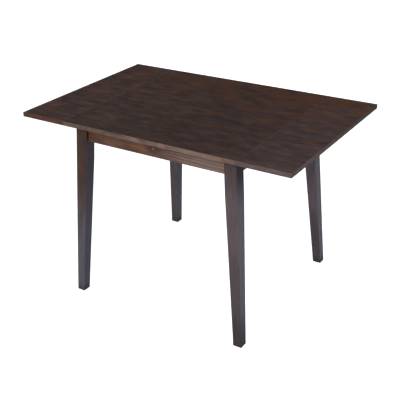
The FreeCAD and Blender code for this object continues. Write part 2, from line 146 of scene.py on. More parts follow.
# An acrylic sheet is a clean, faintly cloudy white with hardly any shine
sheet, tree = new_finish("white_acrylic_sheet")
place = add(tree, "TexCoord").outputs["Object"]
cloud = add(tree, "TexNoise", {"Vector": place, "Scale": 0.8, "Detail": 2.0})
white = add(tree, "Mix", {0: cloud, 6: linear("#949daa"), 7: linear("#9ea7b4")}, data_type="RGBA")
seen = add(tree, "LightPath").outputs["Is Camera Ray"]
away = add(tree, "VectorMath", {0: place}, operation="LENGTH")
bright = add(tree, "MapRange", {
    "Value": away, "From Min": NEAR, "From Max": FAR, "To Min": NEAR_WHITE, "To Max": FAR_WHITE})
glow = add(tree, "MapRange", {"Value": seen, "To Min": TABLE_GLOW, "To Max": bright})
light = add(tree, "Mix", {0: seen, 6: linear("#cbd7f0"), 7: linear("#ffffff")}, data_type="RGBA")
face = add(tree, "BsdfPrincipled", {
    "Base Color": white, "Roughness": 0.7, "Specular IOR Level": 0.1,
    "Emission Color": light, "Emission Strength": glow})
add(tree, "OutputMaterial", {"Surface": face})
print("sheet made of", len(tree.nodes), "nodes")

# %% Floor
FLOOR_HALF = 9.0
corners = [(x * FLOOR_HALF, y * FLOOR_HALF, 0) for x, y in ((-1, -1), (1, -1), (1, 1), (-1, 1))]
floor_mesh = bpy.data.meshes.new("floor")
floor_mesh.from_pydata(corners, [], [(0, 1, 2, 3)])
floor_mesh.materials.append(sheet)
floor = new_object("floor", floor_mesh)
print("floor,", 2 * FLOOR_HALF, "m wide")

# %% [markdown]
# ## Room and lamps
#
# The main lamp stands beside the camera, and three weaker ones at the left, behind and at the right
# open the shade under the top. All are squares over two metres wide, because a wide lamp gives a
# soft shadow. A lacquered top mirrors whatever is bright, so the room stays dim, and only the left
# lamp shows in reflections: the others would lie on the top as glare.

# %% Dim room with a white backdrop
ROOM_LIGHT = 0.12
world = bpy.data.worlds.new("studio")
world.use_nodes = True
tree = world.node_tree
tree.nodes.clear()
seen = add(tree, "LightPath").outputs["Is Camera Ray"]
room = add(tree, "Background", {"Color": linear("#ccd8ee"), "Strength": ROOM_LIGHT})
backdrop = add(tree, "Background", {"Color": linear("#ffffff"), "Strength": 1.0})
mixed = add(tree, "MixShader", {0: seen, 1: room, 2: backdrop})
add(tree, "OutputWorld", {"Surface": mixed})
bpy.context.scene.world = world
bpy.context.scene.view_settings.view_transform = "Standard"
print("room light:", ROOM_LIGHT)

# %% Lamps
AIM = Vector((0, 0, 0.5))
MIRRORED = "left"
# The place in metres, the power in watts, the width in metres and the tint of each lamp
LAMPS = {
    "key": (Vector((0.9, -4.0, 2.3)), 265.0, 2.2, "#fff3e8"),
    "left": (Vector((-3.6, -1.6, 2.4)), 75.0, 2.5, "#fff6ee"),
    "back": (Vector((-1.4, 3.9, 1.2)), 140.0, 2.2, "#fff6ee"),
    "right": (Vector((2.9, -0.6, 2.6)), 185.0, 2.2, "#eef3ff"),
}
for name, (place, watts, width, tint) in LAMPS.items():
    lamp = new_object(name, bpy.data.lights.new(name, "AREA"))
    lamp.data.energy = watts
    lamp.data.size = width
    lamp.data.color = linear(tint)[:3]
    lamp.matrix_world = Matrix.Translation(place) @ (place - AIM).to_track_quat("Z", "Y").to_matrix().to_4x4()
    lamp.visible_glossy = name == MIRRORED
    print(name, "lamp,", watts, "W at", [round(v, 2) for v in place])

# %% [markdown]
# ## Marks of the grain
#
# The wood has a dark walnut stain under a thin satin lacquer. What the eye sees is uneven stain,
# warm patches where it took less, growth rings cut at a slant, narrow nearly black streaks, and fine
# fibre and pores that also catch the light. Most of these are long along the grain and narrow across
# it, so one stretched noise draws them, with length and width in mm. Real pores are about 0.3 mm wide,
# too fine for the picture, so the fibre stands for them and is drawn about five times as wide.

# %% Noise along the grain
X, Y, Z = 0, 1, 2
# Length and width in mm, detail and wander of the fine marks of every board
# The silk is a painted sheen, long streaks that make the wood lighter and darker
SILK = (280, 4, 4.0, 0.2)
FIBRE = (60, 1.6, 2.0, 0.1)
PORE = (9, 0.45, 1.0, 0.0)


def grain(tree, place, along, length, width, detail=3.0, wander=0.3):
    """A noise from 0 to 1 whose marks are length by width, in mm, long along an axis."""
    scale = tuple(1 / ((length if axis == along else width) * MM) for axis in (X, Y, Z))
    stretched = add(tree, "Mapping", {"Vector": place, "Scale": scale})
    return add(tree, "TexNoise", {
        "Vector": stretched, "Scale": 1.0, "Detail": detail, "Roughness": 0.6, "Distortion": wander})


print("fibre drawn", FIBRE[1], "mm wide, pores", PORE[1], "mm")

# %% [markdown]
# ## Growth rings and boards
#
# The rings are those of a log: a ring wave around a pith that lies outside the board and leans a
# little, which is what gives the long arches on real boards. A panel is glued from several boards,
# each from another place in the log. The boards could be cut as meshes, but moving the coordinates
# of each strip by a chance of its own gives their joints and leaves the CAD panel whole.

# %% Rings of a log
RING_WANDER = 14 * MM
# A ring wave has twenty turns of phase for each unit
WAVE_PHASE = 20


def rings(tree, place, along, pith, tilt, apart, knot=None):
    """Growth rings from 0 to 1 around a pith that leans from the grain, apart in mm. A knot bends them."""
    leaning = add(tree, "Mapping", {
        "Vector": place, "Location": pith, "Rotation": tuple(math.radians(t) for t in tilt)})
    wobble = add(tree, "TexNoise", {"Vector": leaning, "Scale": 5.0, "Detail": 3.0})
    bent = add(tree, "VectorMath", {
        0: wobble.outputs["Color"], 1: (RING_WANDER,) * 3, 2: leaning}, operation="MULTIPLY_ADD")
    if knot:
        bent = add(tree, "Mix", {0: knot["near"], 4: bent, 5: knot["around"]}, data_type="VECTOR")
    wave = add(tree, "TexWave", {
        "Vector": bent, "Scale": 2 * math.pi / WAVE_PHASE / (apart * MM), "Distortion": 0.8, "Detail": 2.0,
        "Detail Scale": 0.6}, wave_type="RINGS", rings_direction="XYZ"[along], wave_profile="SAW")
    return wave.outputs["Fac"]


print("rings wander by up to", RING_WANDER / MM, "mm")

# %% Boards of a glued panel
BOARD = 107
# The most that a board is moved along and across the log, in metres
BOARD_MOVES = (1.6, 0.08, 0.06)


def boards(tree, place):
    """Gives each board of a glued panel its own piece of the log, so that the joints show."""
    split = add(tree, "SeparateXYZ", {0: place})
    strip = add(tree, "Math", {0: split.outputs["Y"], 1: BOARD * MM}, operation="DIVIDE")
    number = add(tree, "Math", {0: strip}, operation="FLOOR")
    inside = add(tree, "Math", {0: split.outputs["Y"], 1: BOARD * MM}, operation="FLOORED_MODULO")
    local = add(tree, "CombineXYZ", {0: split.outputs["X"], 1: inside, 2: split.outputs["Z"]})
    chance = add(tree, "TexWhiteNoise", {"W": number}, noise_dimensions="1D")
    return add(tree, "VectorMath", {
        0: chance.outputs["Color"], 1: BOARD_MOVES, 2: local}, operation="MULTIPLY_ADD")


# %% [markdown]
# ## Stain and warm patches
#
# Stain that is wiped on goes in unevenly, so two tones are mixed by clouds and by the growth rings
# together. Many pieces here change from one end to the other, so a second pair of tones may take
# over along a direction. Where the stain took less, the brown of the wood shows in warm patches.
# Patches, streaks and knots are one step to a finisher, another tone over the stain, so one function
# lays it there.

# %% Stain and warm patches
STAIN_FROM, STAIN_TO = 0.25, 0.75
WARM_STEP, WARM_MOST = 0.3, 0.85


def way_across(tree, here, direction, start, stop):
    """From 0 to 1 along a direction, between two distances in metres."""
    way = add(tree, "VectorMath", {0: here, 1: direction}, operation="DOT_PRODUCT")
    return add(tree, "MapRange", {"Value": way, "From Min": start, "From Max": stop},
               interpolation_type="SMOOTHSTEP")


def stain(tree, tones, cloud, ring, figure, across):
    """Two depths of stain, in clouds and rings, which may change to far tones across the piece."""
    ringed = add(tree, "Math", {0: ring, 1: figure, 2: cloud}, operation="MULTIPLY_ADD")
    depth = add(tree, "MapRange", {
        "Value": ringed, "From Min": STAIN_FROM, "From Max": STAIN_TO + figure}, interpolation_type="SMOOTHSTEP")
    deep, mid = linear(tones["deep"]), linear(tones["mid"])
    colour = add(tree, "Mix", {0: depth, 6: deep, 7: mid}, data_type="RGBA")
    if across is None:
        return colour
    deep, mid = [linear(tones.get("far_" + key, tones[key])) for key in ("deep", "mid")]
    far = add(tree, "Mix", {0: depth, 6: deep, 7: mid}, data_type="RGBA")
    return add(tree, "Mix", {0: across, 6: colour, 7: far}, data_type="RGBA")


def lay_over(tree, colour, tone, value, start, stop, most, rise="SMOOTHSTEP"):
    """A tone over a colour, from nothing where a value is at start to most of it at stop."""
    share = add(tree, "MapRange", {"Value": value, "From Min": start, "From Max": stop, "To Max": most},
                interpolation_type=rise)
    return add(tree, "Mix", {0: share, 6: colour, 7: linear(tone)}, data_type="RGBA")


def warm_patches(tree, colour, tone, here, patch, lean, warm_from):
    """Patches where the wood shows through, gathered along a lean."""
    leaning = add(tree, "VectorMath", {0: here, 1: lean}, operation="DOT_PRODUCT")
    gathered = add(tree, "Math", {0: patch, 1: leaning}, operation="ADD")
    return lay_over(tree, colour, tone, gathered, warm_from, warm_from + WARM_STEP, WARM_MOST)


print("a warm patch hides at most", WARM_MOST, "of the stain")

# %% [markdown]
# ## A knot
#
# The front apron has one small knot, pale in the middle with a dark rim. A knot is a branch that the
# board cuts across, so the rings bend round it. It could be painted on, but the distance from the
# branch gives the rim, the middle and the bend at once. It counts half along the grain, because a knot
# is about twice as long as high on a board.

# %% Knot
# Distances in mm: how far streaks move the outline, and between which the rings bend
KNOT_UNEVEN, BEND_FROM, BEND_TO = 16, 40, 12
# The rim and the middle: where each starts and is full, in mm, and the most that it hides
KNOT_TONES = {"streak": (32, 14, 0.75), "knot": (13, 8, 0.9)}


def knot_at(tree, here, mark, x, z):
    """A knot at X and Z in mm: the way from its middle, how near it is, and a place around it."""
    branch = add(tree, "Mapping", {"Vector": here, "Location": (-x * MM / 2, 0, -z * MM), "Scale": (0.5, 0, 1)})
    reach = add(tree, "VectorMath", {0: branch}, operation="LENGTH")
    away = add(tree, "Math", {0: mark, 1: KNOT_UNEVEN * MM, 2: reach}, operation="MULTIPLY_ADD")
    near = add(tree, "MapRange", {"Value": away, "From Min": BEND_FROM * MM, "From Max": BEND_TO * MM},
               interpolation_type="SMOOTHSTEP")
    turned = add(tree, "SeparateXYZ", {0: branch})
    around = add(tree, "CombineXYZ", {1: turned.outputs["X"], 2: turned.outputs["Z"]})
    return {"away": away, "near": near, "around": around}


def stain_knot(tree, colour, knot, tones):
    """The dark rim and the pale middle of a knot."""
    for key, (start, stop, most) in KNOT_TONES.items():
        colour = lay_over(tree, colour, tones[key], knot["away"], start * MM, stop * MM, most, "LINEAR")
    return colour


print("a knot bends the rings within", BEND_FROM, "mm")

# %% [markdown]
# ## Faces cut another way, with painted light
#
# The edges of a panel and the sides of a leg are the same wood cut another way. They take the stain differently,
# and end grain soaks it up. Their tones are also partly painted light, set to how the lamps light each face: the
# front edges of the top are painted lighter, and the sides of each leg get a brightness of their own. Each could
# have its own material, but the direction that a face looks in says how it was cut, so one material holds all. On
# the eased edges, where a face turns from one side to the next, hands rub the stain thin.

# %% Cut and lit faces, painted shade at leg ends, and rubbed edges
FACE_FROM, FACE_TO = 0.8, 0.9
# The most of the cross tone, and the most of the painted shade at the ends of a leg
CROSS_MOST, END_SHADE_MOST = 0.75, 0.4
# Between which values of the patches a cut face takes up its tone, and the least of it
TAKEN_FROM, TAKEN_TO, TAKEN_LEAST = 0.3, 0.6, 0.4
EDGE_FROM, EDGE_TO = 0.97, 0.85


def cut_and_lit_faces(tree, colour, tones, sides, along, patch, across):
    """Other tones on the faces that look along Y, along X and along the grain, partly of the cut and partly
    painted light.
    """
    for key, axis, most in (("side", Y, 1.0), ("cross", X, CROSS_MOST), ("end", along, 1.0)):
        if key not in tones:
            continue
        facing = add(tree, "MapRange", {
            "Value": sides[axis], "From Min": FACE_FROM, "From Max": FACE_TO, "To Max": most})
        uneven = add(tree, "MapRange", {
            "Value": patch, "From Min": TAKEN_FROM, "From Max": TAKEN_TO, "To Min": TAKEN_LEAST})
        taken = add(tree, "Math", {0: facing, 1: uneven}, operation="MULTIPLY")
        tone = linear(tones[key])
        if "far_" + key in tones:
            far = linear(tones["far_" + key])
            tone = add(tree, "Mix", {0: across, 6: tone, 7: far}, data_type="RGBA")
        colour = add(tree, "Mix", {0: taken, 6: colour, 7: tone}, data_type="RGBA")
    return colour


def shaded_dull_ends(tree, here, end_shade):
    """How much painted shade darkens the foot and the head of a leg, by heights in mm."""
    height = add(tree, "SeparateXYZ", {0: here}).outputs["Z"]
    foot, head = [add(tree, "MapRange", {
        "Value": height, "From Min": start * MM, "From Max": stop * MM, "To Max": END_SHADE_MOST},
        interpolation_type="SMOOTHSTEP") for start, stop in end_shade]
    return add(tree, "Math", {0: foot, 1: head}, operation="MAXIMUM")


def rubbed_edges(tree, colour, tone, sides, patch):
    """The tone of the wood where a face lies between two sides."""
    most = add(tree, "Math", {0: sides[X], 1: sides[Y]}, operation="MAXIMUM")
    most = add(tree, "Math", {0: most, 1: sides[Z]}, operation="MAXIMUM")
    rubbed = add(tree, "MapRange", {"Value": most, "From Min": EDGE_FROM, "From Max": EDGE_TO})
    worn = add(tree, "Math", {0: rubbed, 1: patch}, operation="MULTIPLY")
    return add(tree, "Mix", {0: worn, 6: colour, 7: linear(tone)}, data_type="RGBA")


print("edges look rubbed from", round(math.degrees(math.acos(EDGE_FROM))), "degrees off a side")

# %% [markdown]
# ## Fine lines and lacquer
#
# Fibre and pores change only how light the wood is, and so does the silky sheen, which is a painted sheen: each
# becomes a factor, and the factors are multiplied into the colour. On the top, which was rubbed down, soft
# mottles take the place of the silk. The lacquer is satin: duller where the stain is thick, dull at the ends of
# the legs, where it sinks in, and dipped a little at the pores.

# %% Fine lines and lacquer
# Where a streak starts and is full, and the most that it hides
STREAK = (0.58, 0.75, 0.5)
# Where a noise starts and ends, and the factor of light at each end
LINES = {"fibre": (0.3, 0.7, 0.82, 1.18), "pore": (0.6, 0.72, 1.0, 0.6), "silk": (0.3, 0.7, 0.8, 1.2),
         "mottle": (0.35, 0.65, 0.86, 1.14)}
SATIN, SATIN_THICK, DULL = 0.36, 0.5, 0.85


def fine_lines(tree, colour, marks):
    """The colour made lighter and darker by each fine mark, and the factor of the pores."""
    factors = {}
    whole = None
    for key, mark in marks.items():
        start, stop, first, last = LINES[key]
        factors[key] = add(tree, "MapRange", {
            "Value": mark, "From Min": start, "From Max": stop, "To Min": first, "To Max": last})
        whole = factors[key] if whole is None else add(
            tree, "Math", {0: whole, 1: factors[key]}, operation="MULTIPLY")
    return add(tree, "VectorMath", {0: colour, "Scale": whole}, operation="SCALE"), factors["pore"]


def surface(tree, colour, rough, relief, strength, depth, **shader):
    """Ends a material: a shaded face with a fine relief, its depth in mm."""
    raised = add(tree, "Bump", {"Height": relief, "Strength": strength, "Distance": depth * MM})
    face = add(tree, "BsdfPrincipled", {"Base Color": colour, "Roughness": rough, "Normal": raised, **shader})
    add(tree, "OutputMaterial", {"Surface": face})


def lacquer(tree, colour, cloud, shaded_ends, relief, specular):
    """A thin satin lacquer over a finished colour, which ends the material."""
    satin = add(tree, "MapRange", {
        "Value": cloud, "From Min": 0.3, "From Max": 0.7, "To Min": SATIN, "To Max": SATIN_THICK})
    if shaded_ends is not None:
        satin = add(tree, "MapRange", {"Value": shaded_ends, "From Max": END_SHADE_MOST, "To Min": satin, "To Max": DULL})
    surface(tree, colour, satin, relief, 0.15, 0.15, **{"IOR": 1.5, "Specular IOR Level": specular})


print("fine lines:", ", ".join(LINES))

# %% [markdown]
# ## Walnut, from bare board to satin lacquer
#
# Now the steps come in a finisher's order: the board with its rings, the stain, the faces that take
# it differently, the marks of the grain, the rubbed edges and the lacquer. Each piece of the table
# gets a material of its own from this one function, because each is another board.

# %% Stained walnut
# A warm, uneven dark brown, long lines that follow each piece, and a soft shine from the side
def stained_walnut(name, along, tones, pith, tilt, apart, figure, specular, fade=None, shift=(0, 0, 0),
                   lean=(0, 0, 0), warm_from=0.45, glued=False, end_shade=None, knot=None, cloud=(140, 28),
                   warm_cloud=(150, 80), dash=(130, 5), mottle=None):
    """Dark stained walnut with its grain along an axis. Fade is the way to the far tones, lean gathers the warm
    patches, the end shade gives the heights of painted shade at the foot and the head of a leg, and knot is the X
    and Z of a knot. Cloud, warm_cloud, dash and mottle are the length and width of stain, patches, streaks and
    mottles in mm."""
    finish, tree = new_finish(name)
    source = add(tree, "TexCoord")
    here = source.outputs["Object"]
    place = add(tree, "Mapping", {"Vector": here, "Location": shift})
    sawn = boards(tree, place) if glued else place
    clouds = grain(tree, place, along, *cloud, 8.0, 0.15)
    patch = grain(tree, place, along, *warm_cloud, 6.0, 0.3)
    mark = grain(tree, sawn, along, *dash, 3.0, 0.4)
    fine = {"fibre": grain(tree, sawn, along, *FIBRE), "pore": grain(tree, sawn, along, *PORE)}
    if mottle:
        fine["mottle"] = grain(tree, place, along, *mottle, 3.0, 0.6)
    else:
        fine["silk"] = grain(tree, sawn, along, *SILK)
    branch = knot_at(tree, here, mark, *knot) if knot else None
    ring = rings(tree, sawn, along, pith, tilt, apart, branch)
    across = way_across(tree, here, *fade) if fade else None
    shaded_ends = shaded_dull_ends(tree, here, end_shade) if end_shade else None
    normal = add(tree, "VectorMath", {0: source.outputs["Normal"]}, operation="ABSOLUTE")
    sides = add(tree, "SeparateXYZ", {0: normal}).outputs

    colour = stain(tree, tones, clouds, ring, figure, across)
    colour = warm_patches(tree, colour, tones["warm"], here, patch, lean, warm_from)
    if knot:
        colour = stain_knot(tree, colour, branch, tones)
    colour = cut_and_lit_faces(tree, colour, tones, sides, along, patch, across)
    # Painted shade darkens the foot and the head of a leg towards the streak tone
    if end_shade:
        colour = add(tree, "Mix", {0: shaded_ends, 6: colour, 7: linear(tones["streak"])}, data_type="RGBA")
    colour = lay_over(tree, colour, tones["streak"], mark, *STREAK)
    colour, pricked = fine_lines(tree, colour, fine)
    colour = rubbed_edges(tree, colour, tones["arris"], sides, patch)
    relief = add(tree, "Math", {0: fine["fibre"], 1: pricked}, operation="ADD")
    lacquer(tree, colour, clouds, shaded_ends, relief, specular)
    return finish


def dress(finish, *names):
    """Gives CAD nodes a material."""
    for name in names:
        nodes[name].data.materials.clear()
        nodes[name].data.materials.append(finish)
    print(finish.name, "on", len(names), "nodes")


print("pieces to stain:", sum(name.endswith(("_panel", "_apron")) or name.startswith("leg_") for name in nodes))

# %% [markdown]
# ## Top and leaves
#
# The top is the darkest part. It was rubbed down and stained with a cloth, so its marks are short and soft, and
# it shines least. Warm patches gather towards the back. The leaves come from other boards, so their tones differ
# a little, and a shift along the grain gives them other marks. The middle panel gets darker to the right. The end
# of the right leaf gets darker to the back, which is painted shade.

# %% Top and leaves
TOP = {"deep": "#251e1d", "mid": "#40322c", "warm": "#3f2612", "streak": "#151114", "arris": "#41342e",
       "side": "#52423a", "end": "#3a2e29"}
SAWN = {"glued": True, "pith": (0, -0.10, -0.66), "tilt": (0, 0.9, 0.4), "apart": 6.0, "figure": 0.12,
        "specular": 0.15, "cloud": (105, 42), "warm_cloud": (80, 44), "dash": (70, 9), "mottle": (40, 16)}
centre_tones = {**TOP, "far_deep": "#211a19", "far_mid": "#382b25", "far_side": "#5c4d45"}
left_tones = {**TOP, "mid": "#463731", "side": "#432917"}
# The far end tone darkens the back of the right leaf's end: painted shade
right_tones = {**TOP, "mid": "#3d302c", "side": "#493e3d", "end": "#3a2a1c", "far_end": "#241809"}
dress(stained_walnut("dark_walnut_centre_panel", X, centre_tones, fade=((1, 0, 0), -0.3, 0.1),
                     lean=(0, 0.35, 0), **SAWN), "centre_panel")
dress(stained_walnut("dark_walnut_left_leaf", X, left_tones, lean=(0, 0.2, 0), shift=(0.3, 0, 0), **SAWN),
      "left_leaf_panel")
dress(stained_walnut("dark_walnut_right_leaf", X, right_tones, fade=((0, 1, 0), -0.3, 0.3), lean=(0, 0.4, 0),
                     shift=(0.7, 0, 0), **SAWN), "right_leaf_panel")

# %% [markdown]
# ## Aprons
#
# The front apron has the boldest figure: broad rings that arch along it, a knot near the middle, and a tone that
# turns from a dark warm brown at the left to a pale grey brown at the right. That turn is painted light: the
# right end is painted paler, as if lit more, and the back apron has it too. The back apron is cut from the same
# kind of board with closer rings. The end aprons run across the table, so their grain does too.

# %% Aprons
# The far tones, paler to the right, are painted light
APRON = {"deep": "#2f1b11", "mid": "#503524", "far_deep": "#483e3a", "far_mid": "#776761", "warm": "#593f2c",
         "streak": "#231917", "arris": "#6f5240", "knot": "#9c6a38"}
LONG = {"fade": ((1, 0, 0), -0.1, 0.36), "pith": (0, 0.34, -0.66), "tilt": (0, 0.8, 2.0), "specular": 0.3}
dress(stained_walnut("walnut_front_apron", X, APRON, apart=9.0, figure=0.9, knot=(-0.5, 704), **LONG),
      "front_apron")
dress(stained_walnut("walnut_back_apron", X, APRON, apart=6.0, figure=0.5, shift=(0.4, 0.1, 0), **LONG),
      "back_apron")
dress(stained_walnut("walnut_end_aprons", Y, APRON, pith=(0.3, 0, -0.64), tilt=(0.8, 0, 1.0), apart=5.0,
                     figure=0.5, specular=0.3), "left_apron", "right_apron")

# %% [markdown]
# ## Legs
#
# A leg is sawn with its grain upright. Each changes its tone between two heights, which is painted light: the
# front left one goes from a dark brown, painted shade under the top, to a grey that is the floor's painted
# reflection, and the others turn darker lower down, painted shade. The sides that look along the table are cut
# another way and have a tone of their own, which is also set to how the lamps light each leg, so it is partly
# painted light. Both ends of a leg are darkened with painted shade, and the lacquer there is dull. On the front
# right leg the painted shade reaches furthest.

# %% Legs
LEG = {"warm": "#49372d", "streak": "#1c1718", "arris": "#2a2323"}
UPRIGHT = {"pith": (0.1, 0.15, 0), "tilt": (1.0, 1.5, 0), "apart": 5.0, "figure": 0.3, "specular": 0.4}
# Each leg's tones are set to how it is lit, so they hold painted light: near tones at the top, far tones low
# down, cross tones on the sides
LEGS = {
    "front_left": {"deep": "#1d110a", "mid": "#2c1b0f", "far_deep": "#312d33", "far_mid": "#454149",
                   "warm": "#35210f", "cross": "#28242a"},
    "front_right": {"deep": "#352d2f", "mid": "#483d3f", "far_deep": "#292223", "far_mid": "#393031",
                    "cross": "#373131"},
    "back_left": {"deep": "#322b2c", "mid": "#4b4144", "far_deep": "#2e2a2c", "far_mid": "#443e42",
                  "cross": "#433e40"},
    "back_right": {"deep": "#332b2b", "mid": "#4d4141", "far_deep": "#282121", "far_mid": "#3a3030",
                   "cross": "#3a3333"},
}
# Heights in mm between which a leg changes its tone with painted light, and over which painted shade darkens its
# foot and its head
PAINTED_LIGHT_HEIGHTS = {"front_left": (540, 310), "front_right": (430, 190), "back_left": (450, 200), "back_right": (330, 130)}
SHORT_END_SHADE, LONG_END_SHADE = ((40, 0), (700, 740)), ((190, 0), (550, 750))
for corner, tones in LEGS.items():
    high, low = PAINTED_LIGHT_HEIGHTS[corner]
    warm_from, rise = (0.7, 0.6) if corner == "front_left" else (0.6, 0.0)
    dress(stained_walnut("walnut_leg_" + corner, Z, {**LEG, **tones}, fade=((0, 0, -1), -high * MM, -low * MM),
                         warm_from=warm_from, lean=(0, 0, rise),
                         end_shade=LONG_END_SHADE if corner == "front_right" else SHORT_END_SHADE, **UPRIGHT), "leg_" + corner)

# %% [markdown]
# ## Bare beech
#
# Turned over, the table shows what holds it together. The corner blocks are planed beech with no
# finish: pale, with fine growth lines, and full of short dark flecks where the rays of the wood are
# cut. The blocks lie at 45 degrees, so the grain is turned with them, one way or the other.

# %% Corner blocks
# Length and width in mm. Rays are about 2 by 0.3 mm, and are drawn twice as large so that they show
BEECH_CLOUD, BEECH_RAY = (120, 14), (4.5, 0.7)
BEECH_RINGS = {"pith": (0, 0.1, -0.6), "tilt": (0, 2, 3), "apart": 3.0}
# Where a fleck starts and is full, and the most that it hides
FLECK = (0.62, 0.7, 0.5)


# A pale, dry wood with no shine, livened by its flecks
def bare_beech(name, turn):
    """Planed beech with its grain turned by an angle in degrees."""
    finish, tree = new_finish(name)
    source = add(tree, "TexCoord").outputs["Object"]
    place = add(tree, "Mapping", {"Vector": source, "Rotation": (0, 0, math.radians(turn))})
    tone = grain(tree, place, X, *BEECH_CLOUD)
    ray = grain(tree, place, X, *BEECH_RAY, 1.0, 0.0)
    ring = rings(tree, place, X, **BEECH_RINGS)
    lined = add(tree, "Math", {0: ring, 1: 0.35, 2: tone}, operation="MULTIPLY_ADD")
    wood = add(tree, "Mix", {0: lined, 6: linear("#a97e57"), 7: linear("#d3ad82")}, data_type="RGBA")
    colour = lay_over(tree, wood, "#7c5233", ray, *FLECK, "LINEAR")
    planed = add(tree, "MapRange", {"Value": tone, "To Min": 0.6, "To Max": 0.75})
    surface(tree, colour, planed, ray, 0.25, 0.2, **{"IOR": 1.5, "Specular IOR Level": 0.35})
    return finish


dress(bare_beech("bare_beech_blocks", 45), "corner_block_front_left", "corner_block_back_right")
dress(bare_beech("bare_beech_blocks_crossed", -45), "corner_block_front_right", "corner_block_back_left")

# %% [markdown]
# ## Plated steel, bright steel, fibre and nylon
#
# Hinges, stays and clips are pressed steel with a zinc plating. Screws, bolts and nuts are bright
# steel, the friction washers are pressed fibre, and the feet stand on moulded nylon. None of these
# has a grain of its own, so clouds and specks are enough for all four, and the life is in the
# roughness more than in the colour.

# %% Finishes without grain
def speckled(name, low, high, patch, speck, rough, metallic, dent, **shader):
    """A finish without grain: clouds and specks, in mm, that vary its colour and roughness."""
    finish, tree = new_finish(name)
    place = add(tree, "TexCoord").outputs["Object"]
    cloud = add(tree, "TexNoise", {"Vector": place, "Scale": 1 / (patch * MM), "Detail": 4.0})
    fine = add(tree, "TexNoise", {"Vector": place, "Scale": 1 / (speck * MM), "Detail": 2.0})
    both = add(tree, "Math", {0: fine, 1: 0.6, 2: cloud}, operation="MULTIPLY_ADD")
    level = add(tree, "MapRange", {"Value": both, "From Min": 0.5, "From Max": 1.1})
    colour = add(tree, "Mix", {0: level, 6: linear(low), 7: linear(high)}, data_type="RGBA")
    worn = add(tree, "MapRange", {"Value": level, "To Min": rough[1], "To Max": rough[0]})
    surface(tree, colour, worn, fine, dent, 0.1, Metallic=metallic, **shader)
    return finish


# Zinc on pressed steel is bluish and cloudy, with patches a few millimetres wide
zinc = speckled("bright_zinc_plate", "#8d9297", "#c9cdd1", 9, 0.8, (0.26, 0.42), 1.0, 0.15)
# Drawn and rolled steel is a little warmer and brighter than zinc
steel = speckled("bright_drawn_steel", "#96979a", "#d3d3d4", 5, 0.6, (0.2, 0.36), 1.0, 0.1)
# Vulcanised fibre is dull, dense paper, reddish brown
fibre = speckled("pressed_vulcanised_fibre", "#3c2119", "#5d3526", 3, 0.5, (0.6, 0.75), 0.0, 0.4, IOR=1.5)
# Moulded nylon has a soft sheen, with scuffs where it slides on the floor
nylon = speckled("moulded_black_nylon", "#15130f", "#2c2925", 6, 0.5, (0.38, 0.6), 0.0, 0.3, IOR=1.53)

PLATED = ("_plate", "_pin", "_bracket", "_arm")
dress(zinc, "top_clips", *[n for n in nodes if n.startswith(("hinge_", "stay_")) and n.endswith(PLATED)])
dress(steel, "stay_studs", "left_stay_rivets", "right_stay_rivets")
dress(fibre, "stay_friction_washers")
dress(nylon, "foot_glides")

# %% [markdown]
# ## Where the screws are
#
# There are more than seventy screws under the top. Their places are in the CAD frame already: a
# screw node holds several loose screws, so each island of joined vertices is one of them. The
# direction in which its points spread most is its axis, and its thick end is its head. Reading them
# from the mesh is safer than a list of places, which would go wrong when the table is resized.

# %% Islands of a CAD node
TOUCHING = 0.001 * MM


def islands(name):
    """The separate solids of a CAD node, each as an array of points, in a fixed order."""
    mesh = bmesh.new()
    mesh.from_mesh(nodes[name].data)
    bmesh.ops.remove_doubles(mesh, verts=mesh.verts, dist=TOUCHING)
    mesh.verts.index_update()
    seen = set()
    solids = []
    for start in mesh.verts:
        reached = [] if start.index in seen else [start]
        seen.add(start.index)
        for vertex in reached:
            for edge in vertex.link_edges:
                other = edge.other_vert(vertex)
                if other.index not in seen:
                    seen.add(other.index)
                    reached.append(other)
        if reached:
            solids.append(np.array([vertex.co[:] for vertex in reached]))
    mesh.free()
    return sorted(solids, key=lambda points: points.mean(axis=0).round(4).tolist())


print("screws of the corner blocks:", len(islands("corner_block_screws")))


# %% Axis, head and length of a screw
def long_axis(points, axis=None):
    """The end with the head, the way that it points, the greatest radius and the length of a solid."""
    known = axis is not None
    if not known:
        axis = np.linalg.eigh(np.cov(points.T))[1][:, 2]
    middle = sum(way * (points @ way).min() / 2 + way * (points @ way).max() / 2
                 for way in np.linalg.svd(axis[None])[2])
    along = (points - middle) @ axis
    off = np.linalg.norm(points - middle - np.outer(along, axis), axis=1)
    if not known and along[off > 0.99 * off.max()].mean() < 0:
        axis, along = -axis, -along
    return middle + axis * along.max(), axis, off.max(), np.ptp(along)


for name in ("corner_block_screws", "hinge_table_screws", "left_leaf_screws"):
    print(name, "lengths, mm:", {round(float(long_axis(points)[3]) / MM, 1) for points in islands(name)})

# %% [markdown]
# ## Geometry Nodes that grow hardware
#
# Modelling seventy screws by hand would be slow, and copies of one would all stop at the same angle.
# Geometry Nodes build one screw from a few named sizes and set it on points. The points carry the
# axis, the stretch of the shank and the kind of head as attributes, and each screw stops at its own
# angle, from a fixed seed. The result becomes one plain mesh for each body.

# %% A tree with named sizes
def sized_tree(name, sizes):
    """An empty Geometry Nodes tree with a named input for each size and the seed, and for a material."""
    tree = bpy.data.node_groups.new(name, "GeometryNodeTree")
    kinds = {size: "Int" if size == "Seed" else "Float" for size in sizes}
    for key, kind in {"Geometry": "Geometry", **kinds, "Material": "Material"}.items():
        tree.interface.new_socket(key, in_out="INPUT", socket_type="NodeSocket" + kind)
    tree.interface.new_socket("Geometry", in_out="OUTPUT", socket_type="NodeSocketGeometry")
    return tree, add(tree, "NodeGroupInput").outputs


